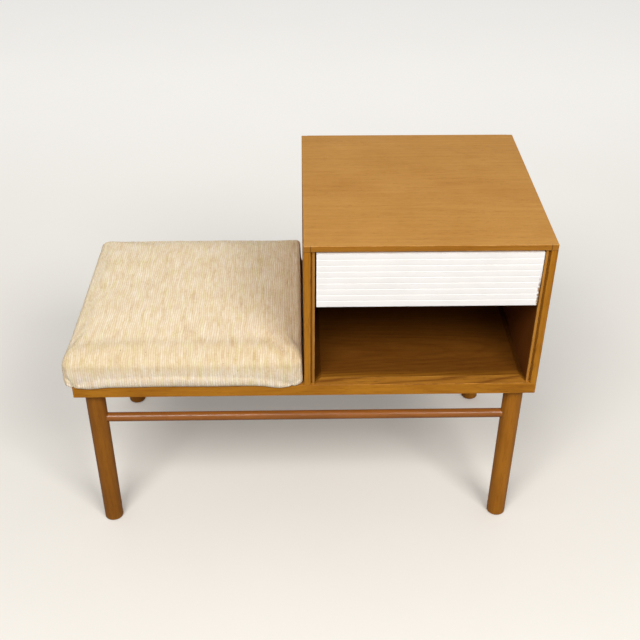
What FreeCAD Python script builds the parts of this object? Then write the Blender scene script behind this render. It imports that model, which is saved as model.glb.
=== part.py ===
import FreeCAD, Part
import math
import os

# Telephone bench: an upholstered seat and a small case with a drawer on one board with four round legs.
# Millimetres. X runs from the seat end to the case end, Y from front to back, Z up from the floor.
# The origin lies on the floor, under the middle of the overall footprint, cushion included.

# Overall sizes
bench_width = 914.0
bench_depth = 468.0
leg_length = 362.0
platform_thickness = 26.0
case_width = 459.0
case_side_height = 305.0
case_top_thickness = 12.0

# Platform edges
platform_end_lipping = 3.2
platform_front_lipping = 6.0
edge_easing = 0.8

# Legs and stretchers
leg_diameter = 39.0
leg_inset = 34.0
foot_chamfer = 2.5
leg_tenon_diameter = 24.0
leg_tenon_length = 18.0
stretcher_diameter = 19.0
stretcher_drop = 79.0
stretcher_socket_depth = 15.0

# Case
case_side_thickness = 12.5
case_top_front_lipping = 8.0
liner_thickness = 7.8
liner_setback = 5.0
liner_groove_width = 3.0
liner_groove_depth = 3.0
small_easing = 0.5
case_back_thickness = 5.0
case_back_recess = 1.0
case_back_rebate = 7.0

# Raised floor of the open compartment
floor_thickness = 8.0
floor_bevel_width = 13.0
floor_edge_thickness = 0.8
floor_setback = 1.5

# Drawer front
drawer_front_height = 115.0
drawer_front_thickness = 19.0
drawer_front_setback = 1.0
drawer_top_gap = 4.5
drawer_side_gap = 2.9
reed_count = 9
reed_groove_width = 1.4
reed_groove_depth = 0.45
reed_crown = 0.15
drawer_front_lip = 9.0

# Drawer box
drawer_rear_gap = 22.0
drawer_box_inset = 0.7
drawer_side_thickness = 11.0
drawer_side_height = 92.0
drawer_side_lift = 8.0
drawer_back_thickness = 11.0
drawer_back_setback = 12.0
drawer_back_housing = 4.0
drawer_bottom_thickness = 4.0
drawer_bottom_lift = 8.0
drawer_bottom_groove = 5.0

# Drawer runners
runner_height = 11.0
runner_groove_depth = 6.5
runner_groove_stop = 12.0
runner_rear_gap = 30.0
running_clearance = 0.3
runner_slack = 0.6

# Seat
seat_board_thickness = 9.0
seat_board_inset = 8.0
seat_cover_clearance = 0.3
cushion_edge_height = 66.0
cushion_crown = 9.0
cushion_bulge_left = 16.0
cushion_bulge_front = 7.0
cushion_bulge_back = 5.0
cushion_bulge_right = 4.0
cushion_back_margin = 8.0
cushion_case_gap = 0.8
cushion_taper_left = 8.0
cushion_taper_right = 3.5
cushion_taper_at_middle = 0.35
cushion_bow = 2.0
cushion_corner_radius = 16.0
cushion_shoulder_radius = 21.0
cushion_side_angle = 75.0
cushion_side_steps = 5
cushion_crown_steps = 6
cushion_crown_reach = 0.85

# Tongues, screws and brads
tongue_thickness = 4.0
tongue_in_platform = 10.0
tongue_in_side = 12.0
tongue_in_top = 7.0
tongue_end_margin = 25.0
screw_diameter = 4.0
screw_head_diameter = 8.0
screw_head_height = 2.6
seat_screw_length = 32.0
seat_screw_margin = 70.0
brad_size = 1.4
back_brad_length = 16.0
back_brads_per_side = 4
back_brad_margin = 30.0
runner_brad_length = 22.0
runner_brad_margin = 40.0
brads_per_runner = 3
corner_brad_length = 20.0
corner_brad_margin = 18.0
bottom_brad_length = 14.0
bottom_brad_margin = 60.0
bottom_brad_count = 3
wood_fit = 0.1
metal_fit = 0.05
glue_space = 1.0

# Places that follow from the sizes above
x_left = -bench_width / 2 + cushion_bulge_left / 2
x_right = x_left + bench_width
y_front = -bench_depth / 2 + cushion_bulge_front / 2
y_back = y_front + bench_depth
z_under = leg_length
z_platform = z_under + platform_thickness
z_under_top = z_platform + case_side_height
z_top = z_under_top + case_top_thickness
case_x_left = x_right - case_width
inner_x_left = case_x_left + case_side_thickness
inner_x_right = x_right - case_side_thickness
bay_x_left = inner_x_left + liner_thickness
bay_x_right = inner_x_right - liner_thickness
back_y_rear = y_back - case_back_recess
back_y_front = back_y_rear - case_back_thickness
liner_y_front = y_front + liner_setback
drawer_z_top = z_under_top - drawer_top_gap
drawer_z_low = drawer_z_top - drawer_front_height
drawer_y_front = y_front + drawer_front_setback
drawer_y_box = drawer_y_front + drawer_front_thickness
drawer_y_rear = back_y_front - drawer_rear_gap
drawer_x_left = bay_x_left + drawer_side_gap
drawer_x_right = bay_x_right - drawer_side_gap
side_z_low = drawer_z_low + drawer_side_lift
side_z_top = side_z_low + drawer_side_height
side_y_front = drawer_y_front + drawer_front_lip
runner_z_mid = side_z_low + drawer_side_height / 2
runner_y_front = drawer_y_box + runner_groove_stop + running_clearance
runner_y_rear = back_y_front - runner_rear_gap
bottom_z_low = side_z_low + drawer_bottom_lift
bottom_z_top = bottom_z_low + drawer_bottom_thickness
drawer_back_y = drawer_y_rear - drawer_back_setback - drawer_back_thickness

X_AXIS = FreeCAD.Vector(1, 0, 0)
Y_AXIS = FreeCAD.Vector(0, 1, 0)
Z_AXIS = FreeCAD.Vector(0, 0, 1)
ON_PLANE = 1e-4


def block(x0, x1, y0, y1, z0, z1):
    """A board with square edges between two corners."""
    return Part.makeBox(x1 - x0, y1 - y0, z1 - z0, FreeCAD.Vector(x0, y0, z0))


def spread(first, last, count):
    """Evenly spaced places from first to last."""
    step = (last - first) / (count - 1)
    return [first + step * index for index in range(count)]


def rod(start, direction, diameter, length):
    """A plain round rod or bore."""
    return Part.makeCylinder(diameter / 2, length, start, direction)


def lies_on(edge, axis, value):
    """Whether both ends of an edge lie on the plane where the given coordinate has that value."""
    return all(abs(vertex.Point[axis] - value) < ON_PLANE for vertex in edge.Vertexes)


def ease(board, size, joints):
    """Takes the sharpness off every edge of a board, apart from those on its joint planes, (axis, value)."""
    free = [edge for edge in board.Edges if not any(lies_on(edge, axis, value) for axis, value in joints)]
    return board.makeChamfer(size, free)


def screw(start, play):
    """A countersunk screw driven upwards, or with play its hole; start is the middle of its head."""
    shank = rod(start, Z_AXIS, screw_diameter + 2 * play, seat_screw_length + play)
    head = Part.makeCone(screw_head_diameter / 2 + play, screw_diameter / 2 + play, screw_head_height, start)
    return shank.fuse(head).removeSplitter()


def brad(start, direction, length, play):
    """A headless square brad driven along one axis from start, or with play its hole."""
    half = brad_size / 2 + play
    tip = start + direction * (length + play)
    limits = []
    for axis in range(3):
        ends = sorted((start[axis], tip[axis])) if direction[axis] else (start[axis] - half, start[axis] + half)
        limits.extend(ends)
    return block(*limits)


def cut_all(shape, tools):
    """The shape with each of the given tools cut out of it."""
    return shape.cut(Part.makeCompound(tools))


def tongues(depth_below, depth_above, z_joint, play):
    """Loose tongues between the two sides and a board, or their grooves when given play."""
    half = tongue_thickness / 2 + play
    end_space = glue_space if play else 0
    y0 = y_front + tongue_end_margin - end_space
    y1 = y_back - tongue_end_margin + end_space
    low = z_joint - depth_below - end_space
    high = z_joint + depth_above + end_space
    middles = (case_x_left + case_side_thickness / 2, x_right - case_side_thickness / 2)
    return [block(x - half, x + half, y0, y1, low, high) for x in middles]


def lower_tongues(play):
    """Tongues between the platform and the sides, or their grooves when given play."""
    return tongues(tongue_in_platform, tongue_in_side, z_platform, play)


def upper_tongues(play):
    """Tongues between the sides and the top, or their grooves when given play."""
    return tongues(tongue_in_side, tongue_in_top, z_under_top, play)


def leg_places():
    """Leg names with the leg's axis and the side on which its stretcher enters."""
    xs = {"left": (x_left + leg_inset, 1), "right": (x_right - leg_inset, -1)}
    ys = {"front": y_front + leg_inset, "rear": y_back - leg_inset}
    return [(f"leg_{row}_{side}", xs[side][0], ys[row], xs[side][1]) for row in ys for side in xs]


def leg_section():
    """Half section of a leg: chamfered foot, straight shaft, shoulder and round tenon."""
    radius = leg_diameter / 2
    tenon = leg_tenon_diameter / 2
    tip = z_under + leg_tenon_length
    corners = [
        (0, 0),
        (radius - foot_chamfer, 0),
        (radius, foot_chamfer),
        (radius, z_under),
        (tenon, z_under),
        (tenon, tip),
        (0, tip),
        (0, 0),
    ]
    return Part.Face(Part.makePolygon([FreeCAD.Vector(x, 0, z) for x, z in corners]))


def legs():
    """The four turned legs, each bored on its inner side for a stretcher."""
    turned = leg_section().revolve(FreeCAD.Vector(0, 0, 0), Z_AXIS, 360)
    pieces = {}
    for name, x, y, inward in leg_places():
        leg = turned.copy()
        leg.translate(FreeCAD.Vector(x, y, 0))
        mouth = leg_diameter / 2 - stretcher_socket_depth - glue_space
        start = FreeCAD.Vector(x + inward * mouth, y, z_under - stretcher_drop)
        pieces[name] = leg.cut(rod(start, X_AXIS * inward, stretcher_diameter + 2 * wood_fit, leg_diameter))
    return pieces


def stretchers():
    """Round rods between the legs of the front pair and of the rear pair."""
    reach = leg_inset + leg_diameter / 2 - stretcher_socket_depth
    length = bench_width - 2 * reach
    pieces = {}
    for row, y in (("front", y_front + leg_inset), ("rear", y_back - leg_inset)):
        start = FreeCAD.Vector(x_left + reach, y, z_under - stretcher_drop)
        pieces[row + "_stretcher"] = rod(start, X_AXIS, stretcher_diameter, length)
    return pieces


def seat_board_corners():
    """Left, right, front and rear limits of the seat board."""
    left = x_left + seat_board_inset
    right = case_x_left - cushion_case_gap - cushion_bulge_right - cushion_taper_right - seat_board_inset
    front = y_front + seat_board_inset
    rear = y_back - cushion_back_margin - cushion_bulge_back - seat_board_inset
    return left, right, front, rear


def seat_screws(play):
    """Screws up through the platform into the seat board, or their holes when given play."""
    left, right, front, rear = seat_board_corners()
    xs = (left + seat_screw_margin, right - seat_screw_margin)
    ys = (front + seat_screw_margin, rear - seat_screw_margin)
    return [screw(FreeCAD.Vector(x, y, z_under), play) for x in xs for y in ys]


def platform():
    """The board that carries everything, with solid strips on its front and ends."""
    core_left = x_left + platform_end_lipping
    core_right = x_right - platform_end_lipping
    core_front = y_front + platform_front_lipping
    sockets = [
        rod(
            FreeCAD.Vector(x, y, z_under),
            Z_AXIS,
            leg_tenon_diameter + 2 * wood_fit,
            leg_tenon_length + glue_space,
        )
        for _, x, y, _ in leg_places()
    ]
    holes = sockets + seat_screws(metal_fit) + lower_tongues(wood_fit)
    core = block(core_left, core_right, core_front, y_back, z_under, z_platform)
    front = block(core_left, core_right, y_front, core_front, z_under, z_platform)
    left_end = block(x_left, core_left, y_front, y_back, z_under, z_platform)
    right_end = block(core_right, x_right, y_front, y_back, z_under, z_platform)
    front = ease(front, edge_easing, [(1, core_front), (0, core_left), (0, core_right)])
    left_end = ease(left_end, edge_easing, [(0, core_left)])
    right_end = ease(right_end, edge_easing, [(0, core_right)])
    return {
        "platform_panel": cut_all(core, holes),
        "platform_front_lipping": cut_all(front, holes),
        "platform_end_lipping_left": cut_all(left_end, holes),
        "platform_end_lipping_right": cut_all(right_end, holes),
    }


def back_brads(play):
    """Brads through the back into the rebates of the sides, or their holes when given play."""
    inside = case_back_rebate / 2
    xs = (inner_x_left - inside, inner_x_right + inside)
    zs = spread(z_platform + back_brad_margin, z_under_top - back_brad_margin, back_brads_per_side)
    return [brad(FreeCAD.Vector(x, back_y_rear, z), -Y_AXIS, back_brad_length, play) for x in xs for z in zs]


def runner_reach():
    """How far a runner stands out from its liner, into the groove of the drawer side."""
    return drawer_side_gap + drawer_box_inset + runner_groove_depth - runner_slack


def runner_brads(play):
    """Brads through each runner and liner into the side, or their holes when given play."""
    ys = spread(runner_y_front + runner_brad_margin, runner_y_rear - runner_brad_margin, brads_per_runner)
    ends = ((bay_x_left + runner_reach(), -X_AXIS), (bay_x_right - runner_reach(), X_AXIS))
    return [
        brad(FreeCAD.Vector(x, y, runner_z_mid), direction, runner_brad_length, play)
        for x, direction in ends
        for y in ys
    ]


def case_sides():
    """The outer sides, rebated along the back edge for the back."""
    grooves = lower_tongues(wood_fit) + upper_tongues(wood_fit)
    holes = grooves + back_brads(metal_fit) + runner_brads(metal_fit)
    rebate = block(
        inner_x_left - case_back_rebate,
        inner_x_right + case_back_rebate,
        back_y_front,
        y_back,
        z_platform,
        z_under_top,
    )
    pieces = {}
    ends = {"left": (case_x_left, inner_x_left), "right": (inner_x_right, x_right)}
    for side, (x0, x1) in ends.items():
        board = block(x0, x1, y_front, y_back, z_platform, z_under_top)
        board = ease(board, edge_easing, [(2, z_platform), (2, z_under_top)])
        pieces["case_side_" + side] = cut_all(board, [rebate] + holes)
    return pieces


def liner_section(x_wall, inward):
    """Plan section of a liner: a shadow groove along the side, then the narrow front edge."""
    groove_x = x_wall + inward * liner_groove_width
    face_x = x_wall + inward * liner_thickness
    groove_y = liner_y_front + liner_groove_depth
    corners = [
        (x_wall, groove_y),
        (groove_x, groove_y),
        (groove_x, liner_y_front),
        (face_x, liner_y_front),
        (face_x, back_y_front),
        (x_wall, back_y_front),
        (x_wall, groove_y),
    ]
    return Part.Face(Part.makePolygon([FreeCAD.Vector(x, y, z_platform) for x, y in corners]))


def liners():
    """The thin inner sides, set back from the front of the case."""
    pieces = {}
    holes = runner_brads(metal_fit)
    for side, x_wall, inward in (("left", inner_x_left, 1), ("right", inner_x_right, -1)):
        liner = liner_section(x_wall, inward).extrude(Z_AXIS * case_side_height)
        front = [edge for edge in liner.Edges if lies_on(edge, 1, liner_y_front) and edge.Length > liner_thickness]
        pieces["side_liner_" + side] = cut_all(liner.makeChamfer(small_easing, front), holes)
    return pieces


def case_top():
    """The flush top: a panel with strips along its front and over both sides."""
    core_front = y_front + case_top_front_lipping
    grooves = upper_tongues(wood_fit)
    panel = block(inner_x_left, inner_x_right, core_front, y_back, z_under_top, z_top)
    front = block(inner_x_left, inner_x_right, y_front, core_front, z_under_top, z_top)
    left = block(case_x_left, inner_x_left, y_front, y_back, z_under_top, z_top)
    right = block(inner_x_right, x_right, y_front, y_back, z_under_top, z_top)
    side_joint_left = (0, inner_x_left)
    side_joint_right = (0, inner_x_right)
    front_joint = (1, core_front)
    return {
        "case_top_panel": panel,
        "case_top_front_lipping": ease(front, edge_easing, [front_joint, side_joint_left, side_joint_right]),
        "case_top_lipping_left": cut_all(ease(left, edge_easing, [side_joint_left]), grooves),
        "case_top_lipping_right": cut_all(ease(right, edge_easing, [side_joint_right]), grooves),
    }


def case_back():
    """The thin back, let into the sides."""
    fit = wood_fit
    board = block(
        inner_x_left - case_back_rebate + fit,
        inner_x_right + case_back_rebate - fit,
        back_y_front,
        back_y_rear,
        z_platform,
        z_under_top,
    )
    return cut_all(board, back_brads(metal_fit))


def rectangle(x0, x1, y0, y1, z):
    """A level rectangular outline."""
    corners = [(x0, y0), (x1, y0), (x1, y1), (x0, y1), (x0, y0)]
    return Part.makePolygon([FreeCAD.Vector(x, y, z) for x, y in corners])


def compartment_floor():
    """The raised floor: a thin edge, then bevels that rise to the field and meet in mitres."""
    front = y_front + floor_setback
    low = z_platform
    rim = z_platform + floor_edge_thickness
    field = z_platform + floor_thickness
    edge = block(bay_x_left, bay_x_right, front, back_y_front, low, rim)
    foot = rectangle(bay_x_left, bay_x_right, front, back_y_front, rim)
    crest = rectangle(
        bay_x_left + floor_bevel_width,
        bay_x_right - floor_bevel_width,
        front + floor_bevel_width,
        back_y_front,
        field,
    )
    return edge.fuse(Part.makeLoft([foot, crest], True, True)).removeSplitter()


def runners():
    """The wooden strips on which the drawer's grooved sides ride."""
    low = runner_z_mid - runner_height / 2
    high = runner_z_mid + runner_height / 2
    holes = runner_brads(metal_fit)
    left = block(bay_x_left, bay_x_left + runner_reach(), runner_y_front, runner_y_rear, low, high)
    right = block(bay_x_right - runner_reach(), bay_x_right, runner_y_front, runner_y_rear, low, high)
    return {
        "drawer_runner_left": cut_all(ease(left, small_easing, [(0, bay_x_left)]), holes),
        "drawer_runner_right": cut_all(ease(right, small_easing, [(0, bay_x_right)]), holes),
    }


def reeded_outline():
    """Upright section of the drawer front: crowned reeds with a groove between each two."""
    pitch = drawer_front_height / reed_count
    half_groove = reed_groove_width / 2
    y_reed = drawer_y_front + reed_crown
    y_groove = y_reed + reed_groove_depth
    edges = []
    here = None
    for index in range(reed_count):
        start_z = drawer_z_low + index * pitch + (half_groove if index else 0)
        end_z = drawer_z_low + (index + 1) * pitch - (half_groove if index < reed_count - 1 else 0)
        start = FreeCAD.Vector(drawer_x_left, y_reed, start_z)
        crest = FreeCAD.Vector(drawer_x_left, drawer_y_front, (start_z + end_z) / 2)
        end = FreeCAD.Vector(drawer_x_left, y_reed, end_z)
        if here is not None:
            bottom = FreeCAD.Vector(drawer_x_left, y_groove, (here.z + start_z) / 2)
            edges.append(Part.LineSegment(here, bottom).toShape())
            edges.append(Part.LineSegment(bottom, start).toShape())
        edges.append(Part.Arc(start, crest, end).toShape())
        here = end
    first = FreeCAD.Vector(drawer_x_left, y_reed, drawer_z_low)
    rear_top = FreeCAD.Vector(drawer_x_left, drawer_y_box, drawer_z_top)
    rear_low = FreeCAD.Vector(drawer_x_left, drawer_y_box, drawer_z_low)
    for a, b in ((here, rear_top), (rear_top, rear_low), (rear_low, first)):
        edges.append(Part.LineSegment(a, b).toShape())
    return Part.Face(Part.Wire(Part.__sortEdges__(edges)))


def box_x(side):
    """Outer and inner face of a drawer side, and the direction from outside to inside."""
    if side == "left":
        outer = drawer_x_left + drawer_box_inset
        return outer, outer + drawer_side_thickness, 1
    outer = drawer_x_right - drawer_box_inset
    return outer, outer - drawer_side_thickness, -1


def drawer_brads(play):
    """Brads at the drawer's corners and under its back, or their holes when given play."""
    mid_back = drawer_back_y + drawer_back_thickness / 2
    mid_rebate = (side_y_front + drawer_y_box) / 2
    brads = []
    for side in ("left", "right"):
        outer, _, inward = box_x(side)
        for z in (side_z_low + corner_brad_margin, side_z_top - corner_brad_margin):
            for y in (mid_rebate, mid_back):
                brads.append(brad(FreeCAD.Vector(outer, y, z), X_AXIS * inward, corner_brad_length, play))
    left_inner = box_x("left")[1]
    right_inner = box_x("right")[1]
    for x in spread(left_inner + bottom_brad_margin, right_inner - bottom_brad_margin, bottom_brad_count):
        brads.append(brad(FreeCAD.Vector(x, mid_back, bottom_z_low), Z_AXIS, bottom_brad_length, play))
    return brads


def drawer():
    """The drawer: reeded front, grooved sides, housed back and a bottom in grooves."""
    pieces = {}
    holes = drawer_brads(metal_fit)
    left_outer, left_inner, _ = box_x("left")
    right_outer, right_inner, _ = box_x("right")
    panel_left = left_inner - drawer_bottom_groove
    panel_right = right_inner + drawer_bottom_groove
    panel_front = drawer_y_box - drawer_bottom_groove
    back_rear = drawer_back_y + drawer_back_thickness
    slot = block(
        panel_left - wood_fit,
        panel_right + wood_fit,
        panel_front - wood_fit,
        drawer_y_rear,
        bottom_z_low - wood_fit,
        bottom_z_top,
    )
    front = reeded_outline().extrude(X_AXIS * (drawer_x_right - drawer_x_left))
    for x0, x1 in ((drawer_x_left, left_inner), (right_inner, drawer_x_right)):
        front = front.cut(block(x0, x1, side_y_front, drawer_y_box, drawer_z_low, drawer_z_top))
    pieces["drawer_front"] = cut_all(front, [slot] + holes)
    low = runner_z_mid - runner_height / 2 - runner_slack
    high = runner_z_mid + runner_height / 2 + running_clearance
    groove_front = drawer_y_box + runner_groove_stop
    housing = block(
        left_inner - drawer_back_housing,
        right_inner + drawer_back_housing,
        drawer_back_y,
        back_rear,
        bottom_z_top,
        side_z_top,
    )
    for side in ("left", "right"):
        outer, inner, inward = box_x(side)
        low_x, high_x = min(outer, inner), max(outer, inner)
        board = block(low_x, high_x, side_y_front, drawer_y_rear, side_z_low, side_z_top)
        groove_x = sorted((outer, outer + inward * runner_groove_depth))
        groove = block(groove_x[0], groove_x[1], groove_front, drawer_y_rear, low, high)
        pieces["drawer_side_" + side] = cut_all(board, [groove, slot, housing] + holes)
    pieces["drawer_back"] = cut_all(housing, holes)
    bottom = block(panel_left, panel_right, panel_front, back_rear, bottom_z_low, bottom_z_top)
    pieces["drawer_bottom"] = cut_all(bottom, holes)
    pieces["drawer_brads"] = Part.makeCompound(drawer_brads(0))
    return pieces


def pad_outline(z, draw_in, rounding, crest_share):
    """Level outline of the cushion: sides that close towards the back, bowed front and back, round corners.

    draw_in pulls it in at the hem, rounding at the shoulder, and crest_share shrinks it towards its middle.
    """
    x0 = x_left - cushion_bulge_left * (1 - draw_in) + rounding
    x1 = case_x_left - cushion_case_gap - cushion_bulge_right * draw_in - rounding
    y0 = y_front - cushion_bulge_front * (1 - draw_in) + rounding
    y1 = y_back - cushion_back_margin - cushion_bulge_back * draw_in - rounding
    rear_x0 = x0 + cushion_taper_left
    rear_x1 = x1 - cushion_taper_right
    side_x0 = x0 + cushion_taper_left * cushion_taper_at_middle
    side_x1 = x1 - cushion_taper_right * cushion_taper_at_middle
    front = y0 + cushion_bow
    rear = y1 - cushion_bow
    mid_x = (x0 + x1) / 2
    mid_y = (y0 + y1) / 2
    radius = cushion_corner_radius
    turn = radius * (1 - math.sqrt(0.5))
    sides = [
        ((x0 + radius, front), (mid_x, y0), (x1 - radius, front)),
        ((x1, front + radius), (side_x1, mid_y), (rear_x1, rear - radius)),
        ((rear_x1 - radius, rear), (mid_x, y1), (rear_x0 + radius, rear)),
        ((rear_x0, rear - radius), (side_x0, mid_y), (x0, front + radius)),
    ]
    corners = [
        (x1 - turn, front + turn),
        (rear_x1 - turn, rear - turn),
        (rear_x0 + turn, rear - turn),
        (x0 + turn, front + turn),
    ]
    edges = []
    for index, side in enumerate(sides):
        start, middle, end = (FreeCAD.Vector(x, y, z) for x, y in side)
        corner = FreeCAD.Vector(corners[index][0], corners[index][1], z)
        next_x, next_y = sides[(index + 1) % len(sides)][0]
        edges.append(Part.Arc(start, middle, end).toShape())
        edges.append(Part.Arc(end, corner, FreeCAD.Vector(next_x, next_y, z)).toShape())
    outline = Part.Wire(edges)
    return outline.scaled(1 - crest_share, FreeCAD.Vector(mid_x, mid_y, z))


def cushion():
    """The pad: drawn in at the hem, fullest at half height, round shoulders and a crowned top."""
    low = z_platform + seat_cover_clearance
    half = cushion_edge_height / 2
    steepest = math.radians(cushion_side_angle)
    outlines = []
    for angle in spread(-steepest, 0, cushion_side_steps):
        draw_in = (1 - math.cos(angle)) / (1 - math.cos(steepest))
        outlines.append(pad_outline(low + half + half * math.sin(angle) / math.sin(steepest), draw_in, 0, 0))
    for angle in spread(0, steepest, cushion_side_steps)[1:]:
        rounding = cushion_shoulder_radius * (1 - math.cos(angle))
        outlines.append(pad_outline(low + half + half * math.sin(angle) / math.sin(steepest), 0, rounding, 0))
    for step in range(1, cushion_crown_steps + 1):
        share = cushion_crown_reach * (step / cushion_crown_steps) ** 2
        z = low + cushion_edge_height + cushion_crown * (1 - (1 - share) ** 2)
        outlines.append(pad_outline(z, 0, rounding, share))
    pad = Part.makeLoft(outlines, True, True)
    left, right, front, rear = seat_board_corners()
    play = seat_cover_clearance
    top = z_platform + seat_board_thickness + play
    pocket = block(left - play, right + play, front - play, rear + play, z_platform, top)
    return pad.cut(pocket)


def seat():
    """The pad, its plywood base and the screws from below."""
    left, right, front, rear = seat_board_corners()
    board = block(left, right, front, rear, z_platform, z_platform + seat_board_thickness)
    return {
        "seat_board": cut_all(board, seat_screws(metal_fit)),
        "seat_cushion": cushion(),
        "seat_screws": Part.makeCompound(seat_screws(0)),
    }


def fastenings():
    """Tongues and brads of the case, each kind in one node."""
    return {
        "lower_case_tongues": Part.makeCompound(lower_tongues(0)),
        "upper_case_tongues": Part.makeCompound(upper_tongues(0)),
        "back_brads": Part.makeCompound(back_brads(0)),
        "runner_brads": Part.makeCompound(runner_brads(0)),
    }


def build():
    """Every piece of the bench by its node name."""
    pieces = {}
    pieces.update(platform())
    pieces.update(legs())
    pieces.update(stretchers())
    pieces.update(case_sides())
    pieces.update(liners())
    pieces.update(case_top())
    pieces["case_back"] = case_back()
    pieces["compartment_floor"] = compartment_floor()
    pieces.update(runners())
    pieces.update(drawer())
    pieces.update(seat())
    pieces.update(fastenings())
    return pieces


def export(pieces):
    """Writes one file per node and prints what it holds."""
    os.makedirs("parts", exist_ok=True)
    for name in sorted(pieces):
        shape = pieces[name]
        shape.exportStep(os.path.join("parts", name + ".step"))
        box = shape.BoundBox
        print(
            f"{name}: {len(shape.Solids)} solids, valid {shape.isValid()}, volume {shape.Volume:.0f},"
            f" x {box.XMin:.2f} {box.XMax:.2f}, y {box.YMin:.2f} {box.YMax:.2f}, z {box.ZMin:.2f} {box.ZMax:.2f}"
        )


export(build())
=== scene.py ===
"""Finishes, upholstery, floor, lamps and camera of the telephone bench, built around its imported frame."""

import logging
import math
import random
from dataclasses import dataclass, replace
from enum import Enum
from typing import Any, Union

import bmesh
import bpy
from mathutils import Matrix, Vector, noise


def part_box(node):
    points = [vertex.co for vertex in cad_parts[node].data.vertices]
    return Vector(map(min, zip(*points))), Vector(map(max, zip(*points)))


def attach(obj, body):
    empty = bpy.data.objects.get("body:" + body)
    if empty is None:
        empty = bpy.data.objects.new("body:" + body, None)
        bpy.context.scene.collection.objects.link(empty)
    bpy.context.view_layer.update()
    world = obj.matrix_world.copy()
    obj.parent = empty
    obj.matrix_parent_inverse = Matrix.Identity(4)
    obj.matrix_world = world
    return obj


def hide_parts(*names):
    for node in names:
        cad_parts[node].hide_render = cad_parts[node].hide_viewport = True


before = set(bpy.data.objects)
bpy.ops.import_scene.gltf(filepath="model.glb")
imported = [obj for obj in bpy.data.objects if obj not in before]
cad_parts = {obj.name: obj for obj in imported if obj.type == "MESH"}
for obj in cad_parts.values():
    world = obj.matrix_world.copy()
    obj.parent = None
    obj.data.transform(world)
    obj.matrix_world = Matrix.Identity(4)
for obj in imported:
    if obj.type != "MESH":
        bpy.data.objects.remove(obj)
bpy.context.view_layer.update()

log = logging.getLogger("telephone_bench")

Colour = tuple[float, float, float, float]
Number = Union["Signal", float]


def paint(code: str) -> Colour:
    """Turns a colour as seen, written as six hexadecimal digits, into the linear colour of a shader.

    Args:
        code: red, green and blue, two digits each.

    Returns:
        Linear red, green and blue, and an alpha of 1.
    """
    seen = [int(code[i : i + 2], 16) / 255 for i in (0, 2, 4)]
    linear = [c / 12.92 if c <= 0.04045 else ((c + 0.055) / 1.055) ** 2.4 for c in seen]
    return (linear[0], linear[1], linear[2], 1.0)


class Axis(Enum):
    """A direction of the frame, such as the one that a board's grain follows."""

    X = 0
    Y = 1
    Z = 2


class Signal:
    """A number that varies over a surface: one value socket with Python's arithmetic."""

    def __init__(self, graph: "Graph", socket: bpy.types.NodeSocket) -> None:
        """Wraps the output socket of a node in graph."""
        self.graph = graph
        self.socket = socket

    def math(self, operation: str, *others: Number, clamp: bool = False) -> "Signal":
        """Adds one Math node.

        Args:
            operation: the node's operation.
            others: its second and third value.
            clamp: whether the result is kept between 0 and 1.

        Returns:
            The node's result.
        """
        inputs = dict(enumerate((self, *others)))
        made = self.graph.node("ShaderNodeMath", {"operation": operation, "use_clamp": clamp}, inputs)
        return Signal(self.graph, made.outputs[0])

    def __add__(self, other: Number) -> "Signal":
        """The sum of both."""
        return self.math("ADD", other)

    def __sub__(self, other: Number) -> "Signal":
        """This less the other."""
        return self.math("SUBTRACT", other)

    def __rsub__(self, other: float) -> "Signal":
        """The number less this."""
        return (self * -1.0) + other

    def __mul__(self, other: Number) -> "Signal":
        """The product of both."""
        return self.math("MULTIPLY", other)

    def __pow__(self, other: Number) -> "Signal":
        """This to the other's power."""
        return self.math("POWER", other)

    def __abs__(self) -> "Signal":
        """This without its sign."""
        return self.math("ABSOLUTE")

    __radd__ = __add__
    __rmul__ = __mul__

    def low(self, other: Number) -> "Signal":
        """The lower of both."""
        return self.math("MINIMUM", other)

    def high(self, other: Number) -> "Signal":
        """The higher of both."""
        return self.math("MAXIMUM", other)

    def sine(self) -> "Signal":
        """The sine of this, in radians."""
        return self.math("SINE")

    def whole(self) -> "Signal":
        """This rounded down."""
        return self.math("FLOOR")

    def clamped(self) -> "Signal":
        """This kept between 0 and 1."""
        return self.math("ADD", 0.0, clamp=True)

    def step(self, start: Number, end: Number) -> "Signal":
        """Rises smoothly from 0 at start to 1 at end; where end is the lower one it falls instead.

        Args:
            start: the value that gives 0.
            end: the value that gives 1.

        Returns:
            The smooth step.
        """
        made = self.graph.node(
            "ShaderNodeMapRange",
            {"interpolation_type": "SMOOTHSTEP"},
            {"Value": self, "From Min": start, "From Max": end},
        )
        return Signal(self.graph, made.outputs[0])


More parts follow.
